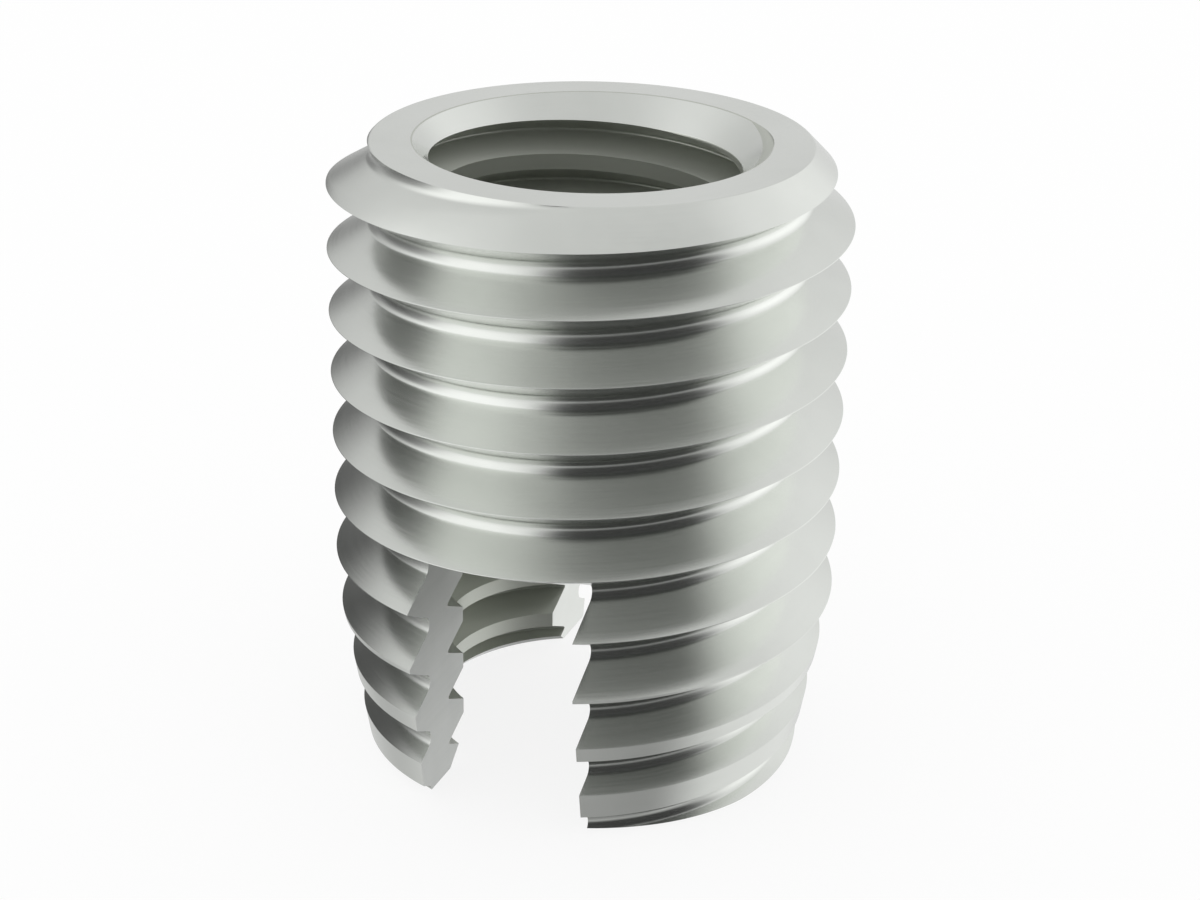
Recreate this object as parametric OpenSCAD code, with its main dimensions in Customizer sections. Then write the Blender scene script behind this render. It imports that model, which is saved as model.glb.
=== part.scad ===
// Slotted self-cutting threaded insert, turned from one bar and left as one solid.
// It stands on its two prongs, with the countersunk head end up.
// Origin: centre of the bottom end. +Z runs along the axis to the head end.
// The cutting slot runs along Y, right across the insert.

/* [Body] */
// Overall length of the insert
length = 15; // [12:0.5:20]
// Outside diameter of the flat ring at the head end
head_d = 10; // [9.4:0.1:11]
// Angle of the head chamfer, measured from the end face
chamfer_angle = 45; // [30:1:60]

/* [Outer thread] */
// Diameter over the crests of the outer thread
outer_d = 12; // [11.2:0.1:14.4]
// Depth of the outer thread, from crest to root
outer_depth = 1.03; // [0.6:0.01:1.1]
// Rise of the outer thread in one turn
outer_pitch = 1.5; // [1.3:0.05:2]
// Angle between the two flanks of the outer thread
flank_angle = 60; // [40:1:60]
// Angle round from +X at which the outer crest meets the head face
outer_start = 77; // [0:1:359]
// Flat sides to one turn of the outer thread
outer_sides = 60; // [24:12:72]

/* [Cutting end] */
// Length over which the crests taper towards the bottom end
lead_len = 4.2; // [2:0.1:6]
// Crest diameter lost over the tapered length
lead_drop = 1.4; // [0.4:0.1:1.8]
// Width of the cutting slot
slot_w = 4; // [2:0.1:5]
// Depth of the cutting slot, from the bottom end
slot_depth = 6.7; // [4:0.1:8.2]

/* [Bore] */
// Core diameter of the inner thread, which is the plain wall of the bore
bore_d = 6.8; // [5:0.1:7.2]
// Diameter of the countersink at the head face
csink_d = 8.08; // [7.4:0.02:8.6]
// Diameter of the chamfer at the mouth between the prongs
mouth_d = 8.12; // [7.4:0.02:8.6]
// Full angle of the countersink and of the mouth chamfer
csink_angle = 90; // [60:5:120]

/* [Hidden] */
$fn = 96;

steel = [0.74, 0.75, 0.73];

// How far a cutting body reaches past the face that it cuts
over = 1;

outer_r = outer_d / 2;
root_r = outer_r - outer_depth;
head_r = head_d / 2;

// Half the height of a thread's foot, along the axis
flank_h = outer_depth * tan(flank_angle / 2);

// The blank is turned a little wider than the crests, so that only its two tapers cut them
blank_r = outer_r + over;
lead_slope = lead_drop / 2 / lead_len;
lead_r = outer_r - lead_drop / 2;

// The threaded rod runs at least one whole turn past both ends of the blank
turns_below = ceil(length / outer_pitch) + 2;
turns = turns_below + 3;
steps = turns * outer_sides;

// Points of the thread's profile at each step: lower foot, crest and upper foot
PROFILE = [[root_r, -flank_h], [outer_r, 0], [root_r, flank_h]];
per_step = len(PROFILE);

function step_angle(i) = 360 * i / outer_sides;

function crest_z(i) = length + outer_pitch * ((step_angle(i) - outer_start) / 360 - turns_below);

function on_helix(i, p) =
    [p[0] * cos(step_angle(i)), p[0] * sin(step_angle(i)), crest_z(i) + p[1]];

function lower_foot(i) = per_step * i;
function crest(i) = per_step * i + 1;
function upper_foot(i) = per_step * i + 2;

// Two triangles between a lower and an upper edge, each given by its ends at steps i and i + 1
function band(low, low_next, high, high_next) =
    [[low, high, high_next], [low, high_next, low_next]];

// A rod with the outer thread on it, as one closed surface
module threaded_rod() {
    rows = [for (i = [0 : steps]) for (p = PROFILE) on_helix(i, p)];
    bottom = len(rows);
    top = bottom + 1;
    last = steps - outer_sides;
    tips = [[0, 0, crest_z(0) - outer_pitch], [0, 0, crest_z(steps) + outer_pitch]];
    flanks = [for (i = [0 : steps - 1]) each concat(
        band(lower_foot(i), lower_foot(i + 1), crest(i), crest(i + 1)),
        band(crest(i), crest(i + 1), upper_foot(i), upper_foot(i + 1)))];
    roots = [for (i = [0 : last - 1]) each
        band(upper_foot(i), upper_foot(i + 1),
             lower_foot(i + outer_sides), lower_foot(i + 1 + outer_sides))];
    rim_below = concat([for (i = [0 : outer_sides]) lower_foot(i)], [upper_foot(0), crest(0)]);
    rim_above = concat([for (i = [last : steps]) upper_foot(i)], [crest(steps), lower_foot(steps)]);
    caps = concat(
        [for (i = [0 : len(rim_below) - 1])
            [bottom, rim_below[i], rim_below[(i + 1) % len(rim_below)]]],
        [for (i = [0 : len(rim_above) - 1])
            [top, rim_above[(i + 1) % len(rim_above)], rim_above[i]]]);
    polyhedron(concat(rows, tips), concat(flanks, roots, caps), convexity = 10);
}

// The turned blank: flat ends, the lead taper below and the head chamfer above
module blank() {
    rotate_extrude()
        polygon([
            [0, 0],
            [lead_r, 0],
            [blank_r, (blank_r - lead_r) / lead_slope],
            [blank_r, length - (blank_r - head_r) * tan(chamfer_angle)],
            [head_r, length],
            [0, length]
        ]);
}

// A cone of diameter d at z = 0 that narrows upwards to the bore
module countersink(d) {
    widen = tan(csink_angle / 2);
    depth = (d - bore_d) / 2 / widen;
    translate([0, 0, -over])
        cylinder(h = depth + over, r1 = d / 2 + over * widen, r2 = bore_d / 2);
}

// The bore with its countersink at the head and its chamfer at the mouth
module bore() {
    translate([0, 0, -over])
        cylinder(h = length + 2 * over, d = bore_d);
    translate([0, 0, length])
        mirror([0, 0, 1])
            countersink(csink_d);
    countersink(mouth_d);
}

// The cutting slot, straight across both walls
module slot() {
    translate([-slot_w / 2, -blank_r - over, -over])
        cube([slot_w, 2 * (blank_r + over), slot_depth + over]);
}

// The insert, one solid
module insert() {
    color(steel)
        difference() {
            intersection() {
                threaded_rod();
                blank();
            }
            bore();
            slot();
        }
}

insert();
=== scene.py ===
"""Looks of the threaded insert: a visual mesh with both threads cut, its steel, and a plain pale stage."""

import math

import bmesh
import bpy
from bpy.props import FloatProperty, FloatVectorProperty, IntProperty, PointerProperty
from bpy.types import Operator, Panel, PropertyGroup
from mathutils import Matrix, Vector


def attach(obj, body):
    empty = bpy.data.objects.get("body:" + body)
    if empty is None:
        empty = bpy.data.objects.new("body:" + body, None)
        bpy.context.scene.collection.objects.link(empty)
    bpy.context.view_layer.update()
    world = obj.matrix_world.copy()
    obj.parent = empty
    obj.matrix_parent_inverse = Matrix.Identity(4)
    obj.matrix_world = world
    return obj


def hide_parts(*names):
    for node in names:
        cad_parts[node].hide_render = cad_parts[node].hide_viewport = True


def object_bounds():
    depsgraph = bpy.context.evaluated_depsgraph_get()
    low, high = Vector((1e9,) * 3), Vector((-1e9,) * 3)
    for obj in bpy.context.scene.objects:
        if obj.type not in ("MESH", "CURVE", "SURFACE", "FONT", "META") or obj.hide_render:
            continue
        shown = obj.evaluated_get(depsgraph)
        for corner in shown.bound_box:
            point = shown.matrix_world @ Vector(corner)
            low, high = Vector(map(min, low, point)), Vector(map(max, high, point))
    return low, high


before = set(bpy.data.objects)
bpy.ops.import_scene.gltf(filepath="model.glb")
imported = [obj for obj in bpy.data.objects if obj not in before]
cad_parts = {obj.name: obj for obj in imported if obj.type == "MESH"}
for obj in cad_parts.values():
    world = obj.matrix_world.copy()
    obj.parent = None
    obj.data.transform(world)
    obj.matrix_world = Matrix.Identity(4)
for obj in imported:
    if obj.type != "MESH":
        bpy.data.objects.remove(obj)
CAD_LOW, CAD_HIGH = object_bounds()

bl_info = {
    "name": "Threaded Insert",
    "version": (1, 0, 0),
    "blender": (4, 5, 0),
    "location": "View3D > Sidebar > Insert",
    "description": "Builds a self-cutting threaded insert in satin steel, and its stage",
    "category": "Object",
}

MM = 0.001  # one millimetre in metres; the meshes are modelled in millimetres
FULL_TURN = 2 * math.pi
HALF_PROFILE = math.radians(30)  # half the angle between the flanks of a metric thread
BEVEL_MID = 2 * (1 - math.sqrt(0.5))  # how far a 0.5 profile pulls a corner in, per offset and cosine
MERGE = 0.0008  # mm, closer vertices become one
ON_PLANE = 0.001  # mm, how near to a plane a face's middle lies that is in it
ALONG_AXIS = 0.99  # how much of a face's normal points along an axis that it faces
SHARP = math.radians(28)  # edges that turn more than this stay crisp
FILLET_STEPS, CREST_STEPS, EDGE_STEPS = 4, 6, 4  # segments in the rounds
BEYOND = 0.6  # mm, how far the threaded rods reach past both ends of the insert
CLEAR = 0.5  # mm, how far the turned envelope reaches past the outer crests
TAP_INSET = 0.3  # mm, how far inside the bore's wall the tap's own core lies
TURNED, MILLED, TAPPED = 0, 1, 2  # material slots of the insert
CARD_STEPS = 32  # steps in the near card's arc
SENSOR = 36.0  # mm, width of the camera's sensor
CLIP_START, CLIP_END = 0.001, 10.0  # m, how near and how far the camera sees


def length_prop(name, description, default):
    """A length in metres, given here in millimetres."""
    return FloatProperty(name=name, description=description, default=default * MM, min=0.0,
                         unit="LENGTH", precision=6)


def angle_prop(name, description, degrees):
    """An angle in radians, given here in degrees."""
    return FloatProperty(name=name, description=description, default=math.radians(degrees),
                         unit="ROTATION")


def factor_prop(name, description, default, high=1.0):
    """A plain number from 0 to high."""
    return FloatProperty(name=name, description=description, default=default, min=0.0, max=high,
                         subtype="FACTOR")


def colour_prop(name, description, default):
    """A scene-linear colour."""
    return FloatVectorProperty(name=name, description=description, default=default, size=3,
                               min=0.0, max=1.0, subtype="COLOR")


# ---------------------------------------------------------------- sizes and finishes


class InsertSizes(PropertyGroup):
    """The insert's sizes. The overall two come from the frame."""

    length: length_prop("Length", "From the prong ends to the head face", CAD_HIGH.z / MM)
    outer_d: length_prop("Outer diameter", "Over the outer crests", (CAD_HIGH.x - CAD_LOW.x) / MM)
    outer_depth: length_prop("Outer depth", "From an outer crest to the root wall", 1.03)
    outer_pitch: length_prop("Outer pitch", "Rise of the outer thread in one turn", 1.5)
    outer_start: angle_prop("Outer start", "Where the outer crest meets the head plane, from +X", 77)
    root_round: length_prop("Root round", "Size of the fillets beside the root wall", 0.12)
    crest_round: length_prop("Crest round", "Size of the round on the outer crest", 0.02)
    groove_round: length_prop("Groove round", "Size of the round in the inner groove", 0.1)
    lead_len: length_prop("Lead length", "Height over which the outer crests taper", 4.2)
    lead_drop: length_prop("Lead drop", "How much smaller the crests are at the prong ends", 1.4)
    head_d: length_prop("Head diameter", "The flat head face, to its outer chamfer", 10.0)
    bore_d: length_prop("Bore diameter", "Core of the inner thread", 6.8)
    csink_d: length_prop("Countersink diameter", "At the head face", 8.08)
    mouth_d: length_prop("Mouth diameter", "At the prong ends", 8.12)
    inner_depth: length_prop("Inner depth", "From the core to the bottom of the inner groove", 0.7)
    inner_pitch: length_prop("Inner pitch", "Rise of the inner thread in one turn", 1.25)
    inner_start: angle_prop("Inner start", "Where the inner groove meets the head plane, from +X", 29)
    slot_w: length_prop("Slot width", "Between the slot's walls", 4.0)
    slot_depth: length_prop("Slot depth", "From the prong ends up", 6.7)
    edge_round: length_prop("Edge round", "Size of the round on the turned edges", 0.028)
    steps: IntProperty(name="Steps", description="Steps in one turn of every turned surface",
                       default=180, min=24, max=360)


class InsertFinish(PropertyGroup):
    """The steel's colour and surface, with painted shade on the slot's walls and in the inner thread."""

    colour: colour_prop("Steel", "Clean satin steel", (0.713, 0.731, 0.70))
    film: colour_prop("Film", "Where a thin film of handling lies", (0.672, 0.690, 0.659))
    milled: colour_prop("Milled", "The slot's rougher walls", (0.74, 0.757, 0.727))
    # Painted shade: the slot's walls take this dark colour towards the -Y side, for the shade inside the
    # slot; their random film patches take it too.
    film_and_side_shade: colour_prop("Film_and_shade", "The slot's walls under film, and towards -Y as painted shade",
                         (0.45, 0.461, 0.447))
    # Painted shade: the inner thread's colour is darker than the steel's, for the shade deep in the bore.
    tapped: colour_prop("Tapped", "The inner thread, darker as painted shade for the deep bore",
                        (0.52, 0.54, 0.49))
    satin: factor_prop("Satin", "Roughness of the clean metal", 0.18)
    milled_satin: factor_prop("Milled satin", "Roughness of the slot's walls", 0.38)
    tapped_satin: factor_prop("Tapped satin", "Roughness of the inner thread", 0.30)
    tapped_metal: factor_prop("Tapped metal", "How metallic the inner thread looks", 0.7)
    dull: factor_prop("Dull", "How much rougher the metal is under the film", 0.04)
    lathe_lines: FloatProperty(name="Lathe lines", description="Tool lines in a millimetre",
                               default=22.0, min=0.0)
    line_height: length_prop("Line height", "Height of the tool lines", 0.00015)
    line_satin: factor_prop("Line satin", "How much rougher the metal is on the tool lines", 0.05)
    # Painted shade on the slot's walls: how dark it gets towards -Y, how much the random film patches add
    # to it, and over what distance it fades.
    side_shade: factor_prop("Smear", "How much painted_shade the slot's walls show on the -Y side", 0.9)
    milled_film_weight: factor_prop("Smear patches", "How uneven that painted_shade is", 0.2)
    side_shade_reach: length_prop("Smear reach", "From the middle, how far the painted_shade takes to fade", 2.0)


class StageSettings(PropertyGroup):
    """The floor, the light and the camera."""

    floor_size: length_prop("Floor size", "Side of the square floor", 3000)
    floor_gap: length_prop("Floor gap", "Clearance under the prong ends", 0.01)
    floor_colour: colour_prop("Floor", "The pale floor", (0.96, 0.96, 0.96))
    shadow: factor_prop("Shadow", "How much of the object's shadow the floor shows", 0.15)
    dome: FloatProperty(name="Dome", description="Strength of the plain soft light all round",
                        default=0.79, min=0.0)
    card_reach: length_prop("Near card reach", "From the insert's left side, as the camera sees it, "
                            "to the near dark card", 8.0)
    card_middle: angle_prop("Near card middle", "Right of the camera, round the left side", -128)
    card_half: angle_prop("Near card half width", "To the middle of its soft side edge", 45)
    card_fade: angle_prop("Near card side fade", "Half the width of that soft edge", 30)
    card_top: length_prop("Near card top", "Height of the middle of the card's soft top edge", 11.1)
    card_soft: length_prop("Near card softness", "Half the height of that soft edge", 3.7)
    card_level: factor_prop("Near card level", "How bright the near card is", 0.10)
    cam_azimuth: angle_prop("Camera azimuth", "Round the object, from the side facing -Y", 21.5)
    cam_elevation: angle_prop("Camera elevation", "Above the floor", 24.07)
    cam_roll: angle_prop("Camera roll", "Turn about the line of sight", 1.1)
    cam_distance: length_prop("Camera distance", "To the point aimed at", 53.43)
    cam_aside: length_prop("Aim aside", "Right of the insert's axis", 0.31)
    cam_height: length_prop("Aim height", "Above the prong ends", 7.348)
    lens: FloatProperty(name="Lens", description="Focal length in millimetres", default=67.25,
                        min=1.0, subtype="DISTANCE_CAMERA")


# ---------------------------------------------------------------- mesh tools


def mesh_object(name, bm):
    """A linked object that holds the bmesh, which is freed."""
    mesh = bpy.data.meshes.new(name)
    bm.to_mesh(mesh)
    bm.free()
    made = bpy.data.objects.new(name, mesh)
    bpy.context.scene.collection.objects.link(made)
    return made


def profile(bm, points, closed=False):
    """Vertices at (radius, height) pairs in the XZ plane, joined in a row."""
    verts = [bm.verts.new((r, 0.0, z)) for r, z in points]
    ends = verts[1:] + verts[:1] if closed else verts[1:]
    for a, b in zip(verts, ends):
        bm.edges.new((a, b))
    return verts


def round_off(bm, corners, size, segments):
    """Rounds corners of a profile."""
    if size > 0:
        bmesh.ops.bevel(bm, geom=corners, affect="VERTICES", offset=size, offset_type="OFFSET",
                        segments=segments, profile=0.5, material=-1, clamp_overlap=True)


def sweep(bm, rise, steps, closed):
    """Turns the whole profile once about Z, rising evenly."""
    bmesh.ops.spin(bm, geom=bm.verts[:] + bm.edges[:], cent=(0, 0, 0), axis=(0, 0, 1),
                   dvec=(0, 0, rise / steps), angle=FULL_TURN, steps=steps,
                   use_merge=closed, use_duplicate=False)


def threaded_rod(name, core, crest, pitch, start_z, low, high, root_round, crest_round, steps):
    """A closed right-hand threaded rod from low to high, whose crest is at start_z on +X."""
    tip = crest + crest_round * BEVEL_MID * math.cos(HALF_PROFILE)
    half = (tip - core) * math.tan(HALF_PROFILE)
    first = start_z + pitch * (math.floor((low - start_z) / pitch) - 1)
    turns = math.ceil((high - first) / pitch) + 2
    bm = bmesh.new()
    verts = profile(bm, [(core, first - pitch / 2), (core, first - half), (tip, first),
                         (core, first + half), (core, first + pitch / 2)])
    round_off(bm, [verts[1], verts[3]], root_round, FILLET_STEPS)
    round_off(bm, [v for v in bm.verts if abs(v.co.x - tip) < MERGE], crest_round, CREST_STEPS)
    sweep(bm, pitch, steps, False)
    one_turn = bm.verts[:] + bm.edges[:] + bm.faces[:]
    for turn in range(1, turns):
        copy = bmesh.ops.duplicate(bm, geom=one_turn)["geom"]
        bmesh.ops.translate(bm, vec=(0, 0, pitch * turn),
                            verts=[g for g in copy if isinstance(g, bmesh.types.BMVert)])
    bmesh.ops.remove_doubles(bm, verts=bm.verts[:], dist=MERGE)
    for z, side in ((low, -1), (high, 1)):
        bmesh.ops.bisect_plane(bm, geom=bm.verts[:] + bm.edges[:] + bm.faces[:], dist=MERGE / 10,
                               plane_co=(0, 0, z), plane_no=(0, 0, side), clear_outer=True)
        rim = [edge for edge in bm.edges
               if edge.is_boundary and all(abs(v.co.z - z) < MERGE for v in edge.verts)]
        bmesh.ops.contextual_create(bm, geom=rim)
    bmesh.ops.recalc_face_normals(bm, faces=bm.faces[:])
    return mesh_object(name, bm)


def ring(name, points, steps):
    """A closed ring about Z from (radius, height, round) corners."""
    bm = bmesh.new()
    verts = profile(bm, [p[:2] for p in points], closed=True)
    for size in sorted({p[2] for p in points}):
        round_off(bm, [v for v, p in zip(verts, points) if p[2] == size], size, EDGE_STEPS)
    sweep(bm, 0.0, steps, True)
    bmesh.ops.recalc_face_normals(bm, faces=bm.faces[:])
    return mesh_object(name, bm)


def block(name, size, centre):
    """A plain box to cut with."""
    bm = bmesh.new()
    bmesh.ops.create_cube(bm, size=1.0)
    bmesh.ops.scale(bm, vec=size, verts=bm.verts[:])
    bmesh.ops.translate(bm, vec=centre, verts=bm.verts[:])
    return mesh_object(name, bm)


def cut(target, tools):
    """The target after each tool has been cut from it or crossed with it. The tools are removed."""
    for tool, operation in tools:
        modifier = target.modifiers.new(tool.name, "BOOLEAN")
        modifier.object, modifier.operation, modifier.solver = tool, operation, "MANIFOLD"
    graph = bpy.context.evaluated_depsgraph_get()
    mesh = bpy.data.meshes.new_from_object(target.evaluated_get(graph))
    for spent in [target] + [tool for tool, _ in tools]:
        data = spent.data
        bpy.data.objects.remove(spent)
        bpy.data.meshes.remove(data)
    bm = bmesh.new()
    bm.from_mesh(mesh)
    bpy.data.meshes.remove(mesh)
    return bm


def even_shading(target):
    """Gives every corner the normal of the larger faces round it, on a mesh in millimetres.

    In metres the faces would be too small for it.
    """
    modifier = target.modifiers.new("Even shading", "WEIGHTED_NORMAL")
    modifier.mode, modifier.weight, modifier.keep_sharp = "FACE_AREA", 50, True
    graph = bpy.context.evaluated_depsgraph_get()
    mesh = bpy.data.meshes.new_from_object(target.evaluated_get(graph),
                                           preserve_all_data_layers=True, depsgraph=graph)
    target.modifiers.remove(modifier)
    plain, target.data = target.data, mesh
    bpy.data.meshes.remove(plain)


def bulge(vert):
    """How far a vertex with two edges lies from the line between their far ends."""
    a, b = (edge.other_vert(vert).co for edge in vert.link_edges)
    return (vert.co - a).cross(b - a).length / (b - a).length


def check_closed(bm, name):
    """Stops the script if the shell is open or inside out."""
    gaps = sum(not e.is_manifold for e in bm.edges)
    if gaps or bm.calc_volume(signed=True) <= 0 or not bm.faces:
        raise RuntimeError(f"{name} isn't a closed solid: {gaps} open edges")


# ---------------------------------------------------------------- shader tools


def new_material(name):
    """A material with an empty node tree, and that tree."""
    material = bpy.data.materials.new(name)
    material.use_nodes = True
    material.node_tree.nodes.clear()
    return material, material.node_tree


def add_node(tree, kind, place, **settings):
    """A node at (column, row) with its settings."""
    made = tree.nodes.new(kind)
    made.location = (place[0] * 200, -place[1] * 180)
    for key, value in settings.items():
        setattr(made, key, value)
    return made


def feed(tree, made, **inputs):
    """Links or sets inputs by position, as in i0=socket or i1=0.5."""
    for key, value in inputs.items():
        socket = made.inputs[int(key[1:])]
        if isinstance(value, bpy.types.NodeSocket):
            tree.links.new(value, socket)
        else:
            socket.default_value = value
    return made


def sums(tree, operation, place, *values, clamp=False):
    """The output of a Math node."""
    made = add_node(tree, "ShaderNodeMath", place, operation=operation, use_clamp=clamp)
    feed(tree, made, **{f"i{i}": v for i, v in enumerate(values)})
    return made.outputs[0]


def ramp(tree, value, place, low, high, to_low=0.0, to_high=1.0, smooth=True):
    """The output of a Map Range node."""
    made = add_node(tree, "ShaderNodeMapRange", place,
                    interpolation_type="SMOOTHSTEP" if smooth else "LINEAR")
    feed(tree, made, i0=value, i1=low, i2=high, i3=to_low, i4=to_high)
    return made.outputs[0]


def new_group(name, inputs, outputs):
    """An empty node group with named sockets, and its two end nodes."""
    tree = bpy.data.node_groups.new(name, "ShaderNodeTree")
    for label, kind, default in inputs:
        socket = tree.interface.new_socket(name=label, in_out="INPUT", socket_type=kind)
        if default is not None:
            socket.default_value = default
    for label, kind in outputs:
        tree.interface.new_socket(name=label, in_out="OUTPUT", socket_type=kind)
    return tree, add_node(tree, "NodeGroupInput", (0, 0)), add_node(tree, "NodeGroupOutput", (9, 0))


def use_group(tree, group, place, **inputs):
    """A group node with its named inputs linked or set. Underscores stand for spaces."""
    made = add_node(tree, "ShaderNodeGroup", place, node_tree=group)
    for key, value in inputs.items():
        socket = made.inputs[key.replace("_", " ")]
        if isinstance(value, bpy.types.NodeSocket):
            tree.links.new(value, socket)
        else:
            socket.default_value = value
    return made


FLOAT, VECTOR, COLOUR = "NodeSocketFloat", "NodeSocketVector", "NodeSocketColor"


def tool_lines_group():
    """Fine uneven lines along one coordinate, which fade in and out along the others."""
    tree, start, end = new_group(
        "Tool lines",
        [("Across", FLOAT, 0.0), ("Along", VECTOR, None), ("Lines", FLOAT, 14.0),
         ("Drift", FLOAT, 0.35)],
        [("Height", FLOAT)])
    across = sums(tree, "MULTIPLY", (1, 0), start.outputs["Across"], start.outputs["Lines"])
    slow = add_node(tree, "ShaderNodeVectorMath", (1, 1), operation="SCALE")
    feed(tree, slow, i0=start.outputs["Along"], i3=start.outputs["Drift"])
    split = add_node(tree, "ShaderNodeSeparateXYZ", (2, 1))
    feed(tree, split, i0=slow.outputs[0])
    place = add_node(tree, "ShaderNodeCombineXYZ", (3, 0))
    feed(tree, place, i0=across, i1=split.outputs[0], i2=split.outputs[1])
    noise = add_node(tree, "ShaderNodeTexNoise", (4, 0), noise_dimensions="4D")
    tree.links.new(place.outputs[0], noise.inputs["Vector"])
    tree.links.new(split.outputs[2], noise.inputs["W"])
    noise.inputs["Scale"].default_value = 1.0
    noise.inputs["Detail"].default_value = 3.0
    noise.inputs["Roughness"].default_value = 0.6
    low, high = 0.25, 0.75  # of the noise, between which the height goes from 0 to 1
    tree.links.new(ramp(tree, noise.outputs[0], (5, 0), low, high), end.inputs["Height"])
    return tree


def film_group():
    """Patches where handling has left a thin film."""
    tree, start, end = new_group("Handling film", [("Position", VECTOR, None), ("Size", FLOAT, 4.0)],
                                 [("Amount", FLOAT)])
    scaled = sums(tree, "DIVIDE", (1, 1), 1.0, start.outputs["Size"])
    noise = add_node(tree, "ShaderNodeTexNoise", (2, 0))
    tree.links.new(start.outputs["Position"], noise.inputs["Vector"])
    tree.links.new(scaled, noise.inputs["Scale"])
    noise.inputs["Detail"].default_value = 4.0
    noise.inputs["Roughness"].default_value = 0.55
    bare, full = 0.35, 0.70  # of the noise, between which the film goes from none to full
    tree.links.new(ramp(tree, noise.outputs[0], (3, 0), bare, full), end.inputs["Amount"])
    return tree


def steel(name, across, groups, finish, colour, film, satin, metal=1.0, film_and_side_shade=False):
    """Satin steel whose tool lines are spaced along one measure: "radius" or "height".

    The film lies in patches. On the slot's walls the steel also darkens towards the -Y side as painted
    shade, for the shade and dark reflections inside the slot, and the film patches add to it. "colour" is
    the clean steel's, "film" is the colour under the film and, on the slot's walls, under that painted
    shade, and "satin" is the roughness.
    """
    material, tree = new_material(name)
    where = add_node(tree, "ShaderNodeTexCoord", (-1, 0))
    in_mm = add_node(tree, "ShaderNodeVectorMath", (0, 0), operation="SCALE")
    feed(tree, in_mm, i0=where.outputs["Object"], i3=1 / MM)
    split = add_node(tree, "ShaderNodeSeparateXYZ", (1, 0))
    feed(tree, split, i0=in_mm.outputs[0])
    x, y, z = split.outputs[:3]
    squares = sums(tree, "ADD", (3, 1), sums(tree, "MULTIPLY", (2, 1), x, x),
                   sums(tree, "MULTIPLY", (2, 2), y, y))
    radius = sums(tree, "SQRT", (4, 1), squares)
    lines = use_group(tree, groups["lines"], (5, 0), Along=in_mm.outputs[0],
                      Across=radius if across == "radius" else z, Lines=finish.lathe_lines)
    patches = use_group(tree, groups["film"], (5, 2), Position=in_mm.outputs[0])
    amount = patches.outputs[0]
    if film_and_side_shade:
        # Painted shade: the slot's walls darken towards the -Y side, for the shade and dark reflections
        # inside the slot; the film patches add to it.
        fade = finish.side_shade_reach / MM
        side = ramp(tree, y, (5, 4), -fade, fade, finish.side_shade, 0.0)
        amount = sums(tree, "MULTIPLY_ADD", (6, 3), amount, finish.milled_film_weight, side, clamp=True)
    tint = add_node(tree, "ShaderNodeMix", (7, 2), data_type="RGBA")
    tree.links.new(amount, tint.inputs["Factor"])
    tint.inputs[6].default_value = (*colour, 1)
    tint.inputs[7].default_value = (*film, 1)
    rough = ramp(tree, amount, (7, 3), 0.0, 1.0, satin, satin + finish.dull, smooth=False)
    uneven = sums(tree, "MULTIPLY_ADD", (8, 3), lines.outputs[0], finish.line_satin, rough)
    bump = add_node(tree, "ShaderNodeBump", (8, 0))
    bump.inputs["Strength"].default_value = 1.0
    bump.inputs["Distance"].default_value = finish.line_height
    tree.links.new(lines.outputs[0], bump.inputs["Height"])
    shader = add_node(tree, "ShaderNodeBsdfPrincipled", (10, 0))
    shader.inputs["Metallic"].default_value = metal
    tree.links.new(tint.outputs[2], shader.inputs["Base Color"])
    tree.links.new(uneven, shader.inputs["Roughness"])
    tree.links.new(bump.outputs[0], shader.inputs["Normal"])
    end = add_node(tree, "ShaderNodeOutputMaterial", (12, 0))
    tree.links.new(shader.outputs[0], end.inputs[0])
    return material


# ---------------------------------------------------------------- the insert


def millimetres(group):
    """The group's lengths by name, in millimetres."""
    return {key: getattr(group, key) / MM for key, prop in group.bl_rna.properties.items()
            if prop.unit == "LENGTH"}


def insert_solid(sizes):
    """A threaded rod, turned to its envelope, tapped and slotted."""
    mm = millimetres(sizes)
    length, edge = mm["length"], mm["edge_round"]
    outer_r, bore_r, head_r = mm["outer_d"] / 2, mm["bore_d"] / 2, mm["head_d"] / 2
    csink_r, mouth_r = mm["csink_d"] / 2, mm["mouth_d"] / 2
    start_z = length - mm["outer_pitch"] * sizes.outer_start / FULL_TURN
    thread = threaded_rod(
        "outer_thread", outer_r - mm["outer_depth"], outer_r - MERGE, mm["outer_pitch"], start_z,
        -BEYOND, length + BEYOND, mm["root_round"], mm["crest_round"], sizes.steps)
    reach = outer_r + CLEAR
    slope = mm["lead_drop"] / 2 / mm["lead_len"]
    envelope = ring("envelope", [
        (bore_r, mouth_r - bore_r, edge), (bore_r, length - csink_r + bore_r, edge),
        (csink_r, length, edge), (head_r, length, edge),
        (reach, length + head_r - reach, 0.0),
        (reach, (reach - outer_r) / slope + mm["lead_len"], 0.0),
        (outer_r - mm["lead_drop"] / 2, 0.0, edge), (mouth_r, 0.0, edge)], sizes.steps)
    start_z = length - mm["inner_pitch"] * sizes.inner_start / FULL_TURN
    tap = threaded_rod(
        "tap", bore_r - TAP_INSET, bore_r + mm["inner_depth"], mm["inner_pitch"], start_z,
        -BEYOND, length + BEYOND, 0.0, mm["groove_round"], sizes.steps)
    saw = block("saw", (mm["slot_w"], 2 * (reach + 2 * CLEAR), 2 * mm["slot_depth"]), (0, 0, 0))
    bm = cut(thread, [(envelope, "INTERSECT"), (tap, "DIFFERENCE"), (saw, "DIFFERENCE")])
    bmesh.ops.remove_doubles(bm, verts=bm.verts[:], dist=MERGE)
    bmesh.ops.dissolve_degenerate(bm, edges=bm.edges[:], dist=MERGE)
    # A vertex that two faces share on a nearly straight edge can leave a doubled triangle there.
    spare = [v for v in bm.verts if len(v.link_edges) == 2 and bulge(v) < MERGE]
    bmesh.ops.dissolve_verts(bm, verts=spare)
    check_closed(bm, "The insert")
    return bm


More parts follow.
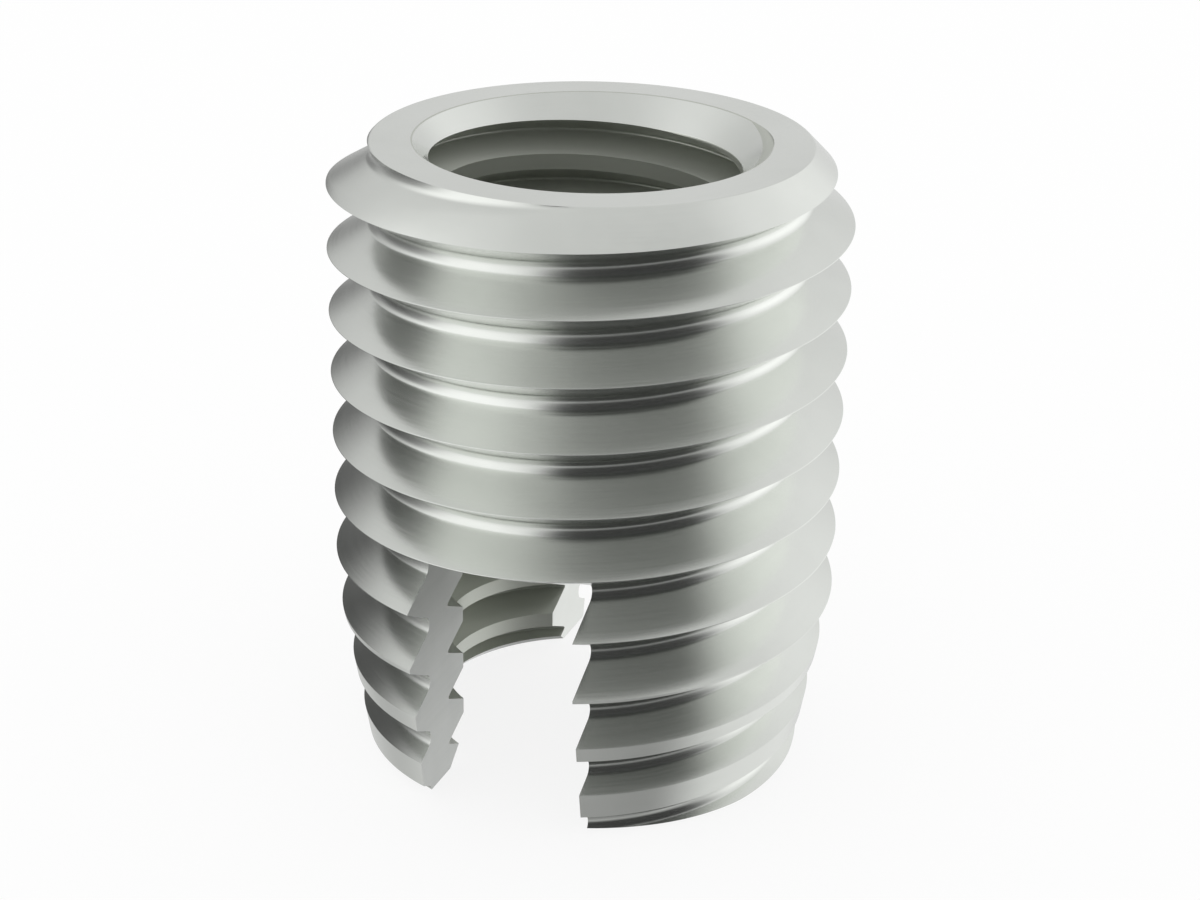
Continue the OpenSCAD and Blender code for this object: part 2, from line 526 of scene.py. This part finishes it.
def mark_finishes(bm, sizes):
    """Gives the slot's walls and the inner thread their own material slots."""
    mm = millimetres(sizes)
    wall, bore_r = mm["slot_w"] / 2, mm["bore_d"] / 2
    csink_r, mouth_r = mm["csink_d"] / 2, mm["mouth_d"] / 2
    for face in bm.faces:
        middle = face.calc_center_median()
        beside = abs(abs(middle.x) - wall) < ON_PLANE and abs(face.normal.x) > ALONG_AXIS
        above = abs(middle.z - mm["slot_depth"]) < ON_PLANE and face.normal.z < -ALONG_AXIS
        radius = math.hypot(middle.x, middle.y)
        tapped = (radius < bore_r + mm["inner_depth"] + MERGE
                  and mouth_r - radius + MERGE < middle.z < mm["length"] - csink_r + radius - MERGE)
        # The slot's walls and the inner thread get the materials that carry painted shade.
        face.material_index = MILLED if beside or above else TAPPED if tapped else TURNED
        face.smooth = True


class INSERT_OT_body(Operator):
    """Builds the insert with both threads, the cutting slot and the chamfers, in satin steel"""

    bl_idname = "insert.body"
    bl_label = "Build Insert"
    bl_options = {"REGISTER", "UNDO"}

    def execute(self, context):
        sizes = context.scene.insert_sizes
        finish = context.scene.insert_finish
        bm = insert_solid(sizes)
        mark_finishes(bm, sizes)
        insert = mesh_object("threaded_insert", bm)
        insert.data.set_sharp_from_angle(angle=SHARP)
        even_shading(insert)
        insert.data.transform(Matrix.Scale(MM, 4))

        groups = {"lines": tool_lines_group(), "film": film_group()}
        shade = [film / clean for film, clean in zip(finish.film, finish.colour)]
        # The inner thread's film, laid on its colour that is painted shade for the bore.
        tapped_film_in_shade = [c * s for c, s in zip(finish.tapped, shade)]
        # The milled material paints shade on the slot's walls towards -Y; the inner thread's dark colour
        # is painted shade for its deep bore.
        for made in (
                steel("Turned steel", "radius", groups, finish, finish.colour, finish.film,
                      finish.satin),
                steel("Milled steel", "height", groups, finish, finish.milled, finish.film_and_side_shade,
                      finish.milled_satin, film_and_side_shade=True),
                steel("Tapped steel", "height", groups, finish, finish.tapped, tapped_film_in_shade,
                      finish.tapped_satin, metal=finish.tapped_metal)):
            insert.data.materials.append(made)
        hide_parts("insert")
        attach(insert, "root")
        return {"FINISHED"}


# ---------------------------------------------------------------- the stage


def card_group():
    """How much a direction falls on a soft-edged card that stands far away, from 0 to 1."""
    tree, start, end = new_group(
        "Soft card",
        [("Direction", VECTOR, None), ("Azimuth", FLOAT, 0.0), ("Elevation", FLOAT, 0.0),
         ("Half width", FLOAT, 0.5), ("Half height", FLOAT, 0.5), ("Softness", FLOAT, 0.2)],
        [("Amount", FLOAT)])
    turned = add_node(tree, "ShaderNodeVectorRotate", (1, 0), rotation_type="Z_AXIS")
    tree.links.new(start.outputs["Direction"], turned.inputs["Vector"])
    tree.links.new(sums(tree, "MULTIPLY", (0, 1), start.outputs["Azimuth"], -1.0),
                   turned.inputs["Angle"])
    facing = add_node(tree, "ShaderNodeVectorRotate", (2, 0), rotation_type="X_AXIS")
    tree.links.new(turned.outputs[0], facing.inputs["Vector"])
    tree.links.new(start.outputs["Elevation"], facing.inputs["Angle"])
    split = add_node(tree, "ShaderNodeSeparateXYZ", (3, 0))
    feed(tree, split, i0=facing.outputs[0])
    ahead = sums(tree, "MULTIPLY", (3, 1), split.outputs[1], -1.0)
    edges = []
    for row, (axis, reach) in enumerate(((0, "Half width"), (2, "Half height"))):
        aside = sums(tree, "ABSOLUTE", (4, row), split.outputs[axis])
        angle = sums(tree, "ARCTAN2", (5, row), aside, ahead)
        inner = sums(tree, "SUBTRACT", (5, row * 2 + 2), start.outputs[reach],
                     start.outputs["Softness"])
        outer = sums(tree, "ADD", (5, row * 2 + 3), start.outputs[reach],
                     start.outputs["Softness"])
        edges.append(ramp(tree, angle, (6, row), inner, outer, 1.0, 0.0))
    tree.links.new(sums(tree, "MULTIPLY", (7, 0), *edges), end.inputs["Amount"])
    return tree


# name, azimuth right of the camera, elevation, half width, half height, softness, in degrees, level
CARDS = [
    ("Under side", 0, -90, 36, 42, 7, 0.33),
    ("Right glow", 111, -6, 34, 60, 13, 0.97),
    ("Right light", 110, -1, 30, 23, 22, 1.39),
    ("Left light", -72, 6, 40, 44, 24, 1.31),
    ("Back left dim", -128, -12, 40, 29, 22, 0.58),
    ("Back left strip", -153, -2, 14, 10, 6, 0.26),
    ("Back left flag", -111, -16, 20, 21, 12, 0.34),
    ("Lower front", 29, -37, 39, 8, 13, 0.40),
    ("Front flag", 22, 13, 44, 43, 11, 0.055),
]


def studio_world(settings):
    """Plain soft light all round, white to the camera, with a few dark cards for metal to show."""
    world = bpy.data.worlds.new("Studio")
    world.use_nodes = True
    world.cycles.sampling_method = "NONE"
    tree = world.node_tree
    tree.nodes.clear()
    where = add_node(tree, "ShaderNodeTexCoord", (0, 0))
    card = card_group()
    level = settings.dome
    for i, (name, azimuth, elevation, width, height, soft, strength) in enumerate(CARDS):
        amount = use_group(tree, card, (1, i), Direction=where.outputs["Generated"],
                           Azimuth=settings.cam_azimuth + math.radians(azimuth),
                           Elevation=math.radians(elevation),
                           Half_width=math.radians(width), Half_height=math.radians(height),
                           Softness=math.radians(soft))
        amount.label = name
        mix = add_node(tree, "ShaderNodeMix", (2 + i, 0), data_type="FLOAT")
        feed(tree, mix, i0=amount.outputs[0], i2=level, i3=strength)
        level = mix.outputs[0]
    rays = add_node(tree, "ShaderNodeLightPath", (7, 1))
    glossy = add_node(tree, "ShaderNodeMix", (8, 0), data_type="FLOAT")
    feed(tree, glossy, i0=rays.outputs["Is Glossy Ray"], i2=1.0, i3=level)
    light = add_node(tree, "ShaderNodeBackground", (9, 0))
    light.inputs["Color"].default_value = (1, 1, 1, 1)
    tree.links.new(glossy.outputs[0], light.inputs["Strength"])
    end = add_node(tree, "ShaderNodeOutputWorld", (10, 0))
    tree.links.new(light.outputs[0], end.inputs[0])
    return world


def floor_material(settings):
    """Pale and matt from above, clear from below, with the object's shadow softened."""
    material, tree = new_material("Pale floor")
    matt = add_node(tree, "ShaderNodeBsdfDiffuse", (0, 0))
    matt.inputs["Color"].default_value = (*settings.floor_colour, 1)
    glow = add_node(tree, "ShaderNodeEmission", (0, 1))
    rays = add_node(tree, "ShaderNodeLightPath", (-1, 0))
    seen = sums(tree, "MULTIPLY", (0, 2), rays.outputs["Is Camera Ray"], 1 - settings.shadow)
    pale = add_node(tree, "ShaderNodeMixShader", (1, 0))
    feed(tree, pale, i0=seen, i1=matt.outputs[0], i2=glow.outputs[0])
    side = add_node(tree, "ShaderNodeNewGeometry", (1, 2))
    clear = add_node(tree, "ShaderNodeBsdfTransparent", (1, 1))
    both = add_node(tree, "ShaderNodeMixShader", (2, 0))
    feed(tree, both, i0=side.outputs["Backfacing"], i1=pale.outputs[0], i2=clear.outputs[0])
    end = add_node(tree, "ShaderNodeOutputMaterial", (3, 0))
    tree.links.new(both.outputs[0], end.inputs[0])
    return material


def near_card_material(settings):
    """Dark, and clear towards the card's top and side edges."""
    half, soft = settings.card_half, settings.card_fade
    material, tree = new_material("Near card")
    where = add_node(tree, "ShaderNodeTexCoord", (0, 0))
    split = add_node(tree, "ShaderNodeSeparateXYZ", (1, 0))
    feed(tree, split, i0=where.outputs["Object"])
    x, y, z = split.outputs[:3]
    angle = sums(tree, "ARCTAN2", (2, 0), sums(tree, "ABSOLUTE", (1, 1), x),
                 sums(tree, "MULTIPLY", (1, 2), y, -1.0))
    across = ramp(tree, angle, (3, 0), half - soft, half + soft, 1.0, 0.0)
    up = ramp(tree, z, (3, 1), settings.card_top - settings.card_soft,
              settings.card_top + settings.card_soft, 1.0, 0.0)
    clear = add_node(tree, "ShaderNodeBsdfTransparent", (4, 1))
    dark = add_node(tree, "ShaderNodeEmission", (4, 2))
    dark.inputs["Strength"].default_value = settings.card_level
    both = add_node(tree, "ShaderNodeMixShader", (5, 0))
    feed(tree, both, i0=sums(tree, "MULTIPLY", (4, 0), across, up), i1=clear.outputs[0],
         i2=dark.outputs[0])
    end = add_node(tree, "ShaderNodeOutputMaterial", (6, 0))
    tree.links.new(both.outputs[0], end.inputs[0])
    return material


def near_card(settings, side):
    """A dark soft-edged arc close behind the insert's left side, for the metal to show."""
    reach, half = settings.card_reach, settings.card_half + settings.card_fade
    bm = bmesh.new()
    foot = bm.verts.new((0, -reach, CAD_LOW.z))
    head = bm.verts.new((0, -reach, settings.card_top + settings.card_soft))
    bm.edges.new((foot, head))
    bmesh.ops.rotate(bm, verts=bm.verts[:], matrix=Matrix.Rotation(-half, 3, "Z"))
    bmesh.ops.spin(bm, geom=bm.verts[:] + bm.edges[:], cent=(0, 0, 0), axis=(0, 0, 1),
                   angle=2 * half, steps=CARD_STEPS, use_merge=False, use_duplicate=False)
    card = mesh_object("near_card", bm)
    turn = Matrix.Rotation(settings.cam_azimuth, 4, "Z")
    card.matrix_world = (turn @ Matrix.Translation((-side, 0, 0))
                         @ Matrix.Rotation(settings.card_middle, 4, "Z"))
    card.data.materials.append(near_card_material(settings))
    card.visible_camera = card.visible_diffuse = card.visible_shadow = False


def pale_floor(settings):
    """A wide flat floor just under the prong ends."""
    bm = bmesh.new()
    bmesh.ops.create_grid(bm, x_segments=1, y_segments=1, size=settings.floor_size / 2)
    bmesh.ops.translate(bm, vec=(0, 0, CAD_LOW.z - settings.floor_gap), verts=bm.verts[:])
    floor = mesh_object("floor", bm)
    floor.data.materials.append(floor_material(settings))
    floor.visible_glossy = False


def aimed_camera(settings):
    """The camera, turned round the insert's axis and aimed beside it."""
    data = bpy.data.cameras.new("Camera")
    data.lens, data.sensor_width = settings.lens, SENSOR
    data.clip_start, data.clip_end = CLIP_START, CLIP_END
    camera = bpy.data.objects.new("Camera", data)
    bpy.context.scene.collection.objects.link(camera)
    turn = Matrix.Rotation(settings.cam_azimuth, 4, "Z")
    tilt = Matrix.Rotation(math.pi / 2 - settings.cam_elevation, 4, "X")
    roll = Matrix.Rotation(settings.cam_roll, 4, "Z")
    back = Vector((0, -math.cos(settings.cam_elevation), math.sin(settings.cam_elevation)))
    aim = Vector((settings.cam_aside, 0, settings.cam_height))
    camera.matrix_world = (turn @ Matrix.Translation(aim + back * settings.cam_distance)
                           @ tilt @ roll)
    return camera


class INSERT_OT_stage(Operator):
    """Makes the pale floor, the soft studio light and the camera"""

    bl_idname = "insert.stage"
    bl_label = "Build Stage"
    bl_options = {"REGISTER", "UNDO"}

    def execute(self, context):
        settings = context.scene.insert_stage
        pale_floor(settings)
        near_card(settings, CAD_HIGH.x)
        context.scene.world = studio_world(settings)
        context.scene.camera = aimed_camera(settings)
        context.scene.view_settings.view_transform = "Standard"
        return {"FINISHED"}


# ---------------------------------------------------------------- add-on


class INSERT_PT_tools(Panel):
    """Lists the steps in order"""

    bl_idname = "INSERT_PT_tools"
    bl_label = "Threaded Insert"
    bl_space_type = "VIEW_3D"
    bl_region_type = "UI"
    bl_category = "Insert"

    def draw(self, context):
        layout = self.layout
        for operator, group in ((INSERT_OT_body, "insert_sizes"), (None, "insert_finish"),
                                (INSERT_OT_stage, "insert_stage")):
            if operator:
                layout.operator(operator.bl_idname)
            settings = getattr(context.scene, group)
            for key in settings.bl_rna.properties.keys():
                if key not in ("rna_type", "name"):
                    layout.prop(settings, key)


CLASSES = (InsertSizes, InsertFinish, StageSettings, INSERT_OT_body, INSERT_OT_stage,
           INSERT_PT_tools)
SETTINGS = {"insert_sizes": InsertSizes, "insert_finish": InsertFinish,
            "insert_stage": StageSettings}


def register():
    for cls in CLASSES:
        bpy.utils.register_class(cls)
    for key, group in SETTINGS.items():
        setattr(bpy.types.Scene, key, PointerProperty(type=group))


def unregister():
    for key in SETTINGS:
        delattr(bpy.types.Scene, key)
    for cls in reversed(CLASSES):
        bpy.utils.unregister_class(cls)


def main():
    """Registers the add-on and builds the insert and its stage."""
    register()
    bpy.ops.insert.body()
    bpy.ops.insert.stage()


if __name__ == "__main__":
    main()
